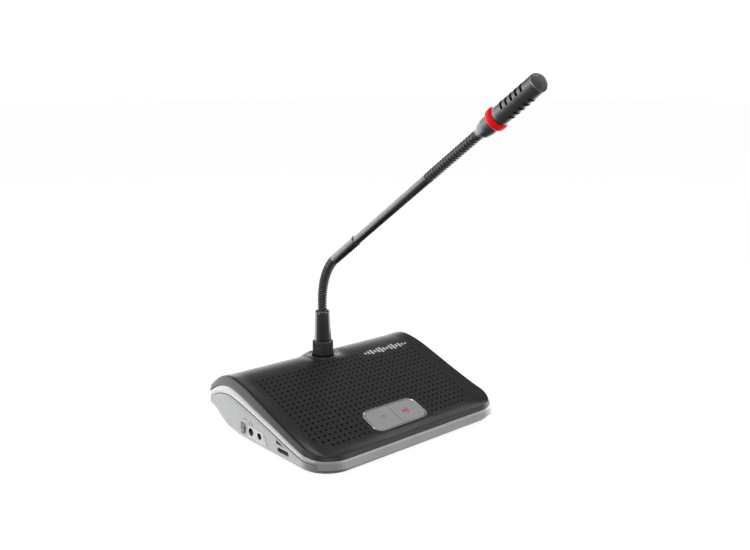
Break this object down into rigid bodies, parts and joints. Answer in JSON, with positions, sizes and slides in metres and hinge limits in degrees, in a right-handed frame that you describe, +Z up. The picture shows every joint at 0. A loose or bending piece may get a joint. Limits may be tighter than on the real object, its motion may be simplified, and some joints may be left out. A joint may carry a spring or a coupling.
{
  "type": "gooseneck podium microphone",
  "caption": "Desk conference microphone: wedge base with perforated top, two buttons and side ports, and a lit-ring microphone on a two-section gooseneck.",
  "frame": {"origin": "on the desk, under the middle of the whole object with the gooseneck in its rest curve", "axes": "+Z up; the speaker sits on the -Y side, and +X is to their right"},
  "size_m": [0.1964, 0.2612, 0.2852],
  "materials": {
    "cover_black": "fine moulded texture",
    "trim_silver": "satin silver paint",
    "shell_grey": "satin metallic grey paint",
    "button_silver": "satin silver paint",
    "bezel_chrome": "bright plated",
    "foot_rubber": "matt",
    "wheel_black": "ribbed, satin",
    "board_green": "solder mask",
    "steel": "plain",
    "magnet_iron": "plain",
    "paper": "pressed paper",
    "gauze": "woven",
    "brass": "plain",
    "part_plastic": "plain",
    "neck_black": "satin black coating",
    "head_black": "satin black anodised",
    "led_red": "translucent, frosted"
  },
  "bodies": {
    "base": {"lower_shell": "shell_grey", "side_trim": "trim_silver", "top_cover": "cover_black", "case_screw_front_left": "steel", "case_screw_front_right": "steel", "case_screw_rear_left": "steel", "case_screw_rear_right": "steel", "foot_front_left": "foot_rubber", "foot_front_right": "foot_rubber", "foot_rear_left": "foot_rubber", "foot_rear_right": "foot_rubber", "ballast_plate": "steel", "main_board": "board_green", "board_spacer_1": "brass", "board_spacer_2": "brass", "board_spacer_3": "brass", "board_spacer_4": "brass", "speaker_basket": "steel", "speaker_cone": "paper", "speaker_magnet": "magnet_iron", "button_bezel": "bezel_chrome", "button_board": "board_green", "priority_switch": "part_plastic", "speak_switch": "part_plastic", "volume_pot": "part_plastic", "headphone_jack": "part_plastic", "line_jack": "part_plastic", "usb_socket": "steel", "card_reader": "steel", "link_socket_in": "part_plastic", "link_socket_out": "part_plastic", "socket_ring": "cover_black", "socket_body": "part_plastic", "plug_insert": "brass", "plug_body": "neck_black"},
    "priority_button": {"priority_button": "button_silver"},
    "speak_button": {"speak_button": "button_silver"},
    "volume_wheel": {"volume_wheel": "wheel_black"},
    "lock_collar": {"lock_collar": "neck_black"},
    "lower_link_1": {"lower_link_1": "neck_black"},
    "lower_link_2": {"lower_link_2": "neck_black"},
    "lower_link_3": {"lower_link_3": "neck_black"},
    "lower_link_4": {"lower_link_4": "neck_black"},
    "lower_link_5": {"lower_link_5": "neck_black"},
    "stem": {"neck_sleeve": "neck_black", "neck_tube": "neck_black"},
    "upper_link_1": {"upper_link_1": "neck_black"},
    "upper_link_2": {"upper_link_2": "neck_black"},
    "upper_link_3": {"upper_link_3": "neck_black"},
    "upper_link_4": {"upper_link_4": "neck_black"},
    "upper_link_5": {"upper_link_5": "neck_black"},
    "head": {"head_cup": "head_black", "led_ring": "led_red", "mic_barrel": "head_black", "mesh_cap": "head_black", "slot_gauze": "gauze", "mic_capsule": "brass"}
  },
  "joints": [
    {"name": "priority_button_press", "type": "slide", "parent": "base", "child": "priority_button", "axis": [0, 0.3638, -0.9315], "range_m": [0, 0.0012], "stiffness_N_per_m": 600, "springref_m": -0.0006},
    {"name": "speak_button_press", "type": "slide", "parent": "base", "child": "speak_button", "axis": [0, 0.3638, -0.9315], "range_m": [0, 0.0012], "stiffness_N_per_m": 600, "springref_m": -0.0006},
    {"name": "volume_turn", "type": "hinge", "parent": "base", "child": "volume_wheel", "pos_m": [-0.0925, 0.0751, 0.0108], "axis": [0, 1, 0], "range_deg": [-140, 140]},
    {"name": "lock_collar_turn", "type": "hinge", "parent": "base", "child": "lock_collar", "pos_m": [0, 0.0994, 0.053], "axis": [0, 0, 1], "range_deg": [0, 350]},
    {"name": "lower_neck_pitch_1", "type": "hinge", "parent": "base", "child": "lower_link_1", "pos_m": [0, 0.0994, 0.0926], "axis": [1, 0, 0], "range_deg": [-18.5, 10]},
    {"name": "lower_neck_side_1", "type": "hinge", "parent": "lower_link_1", "child": "lower_link_2", "pos_m": [0, 0.09877, 0.10158], "axis": [0, 0.9976, 0.0698], "range_deg": [-12, 12]},
    {"name": "lower_neck_pitch_2", "type": "hinge", "parent": "lower_link_2", "child": "lower_link_3", "pos_m": [0, 0.09706, 0.11041], "axis": [1, 0, 0], "range_deg": [-18.5, 10]},
    {"name": "lower_neck_side_2", "type": "hinge", "parent": "lower_link_3", "child": "lower_link_4", "pos_m": [0, 0.0939, 0.11884], "axis": [0, 0.9367, 0.3502], "range_deg": [-12, 12]},
    {"name": "lower_neck_pitch_3", "type": "hinge", "parent": "lower_link_4", "child": "lower_link_5", "pos_m": [0, 0.08913, 0.12648], "axis": [1, 0, 0], "range_deg": [-18.5, 10]},
    {"name": "lower_neck_side_3", "type": "hinge", "parent": "lower_link_5", "child": "stem", "pos_m": [0, 0.08288, 0.13295], "axis": [0, 0.7193, 0.6947], "range_deg": [-12, 12]},
    {"name": "upper_neck_pitch_1", "type": "hinge", "parent": "stem", "child": "upper_link_1", "pos_m": [0, -0.03303, 0.21411], "axis": [1, 0, 0], "range_deg": [-16, 16]},
    {"name": "upper_neck_side_1", "type": "hinge", "parent": "upper_link_1", "child": "upper_link_2", "pos_m": [0, -0.04097, 0.21967], "axis": [0, 0.5736, 0.8192], "range_deg": [-12, 12]},
    {"name": "upper_neck_pitch_2", "type": "hinge", "parent": "upper_link_2", "child": "upper_link_3", "pos_m": [0, -0.04892, 0.22524], "axis": [1, 0, 0], "range_deg": [-16, 16]},
    {"name": "upper_neck_side_2", "type": "hinge", "parent": "upper_link_3", "child": "upper_link_4", "pos_m": [0, -0.05686, 0.2308], "axis": [0, 0.5736, 0.8192], "range_deg": [-12, 12]},
    {"name": "upper_neck_pitch_3", "type": "hinge", "parent": "upper_link_4", "child": "upper_link_5", "pos_m": [0, -0.06481, 0.23636], "axis": [1, 0, 0], "range_deg": [-16, 16]},
    {"name": "upper_neck_side_3", "type": "hinge", "parent": "upper_link_5", "child": "head", "pos_m": [0, -0.07276, 0.24193], "axis": [0, 0.5736, 0.8192], "range_deg": [-12, 12]}
  ],
  "couplings": [
    {"joint": "lower_neck_pitch_2", "follows": "lower_neck_pitch_1", "ratio": 1},
    {"joint": "lower_neck_side_2", "follows": "lower_neck_side_1", "ratio": 1},
    {"joint": "lower_neck_pitch_3", "follows": "lower_neck_pitch_1", "ratio": 1},
    {"joint": "lower_neck_side_3", "follows": "lower_neck_side_1", "ratio": 1},
    {"joint": "upper_neck_pitch_2", "follows": "upper_neck_pitch_1", "ratio": 1},
    {"joint": "upper_neck_side_2", "follows": "upper_neck_side_1", "ratio": 1},
    {"joint": "upper_neck_pitch_3", "follows": "upper_neck_pitch_1", "ratio": 1},
    {"joint": "upper_neck_side_3", "follows": "upper_neck_side_1", "ratio": 1}
  ]
}
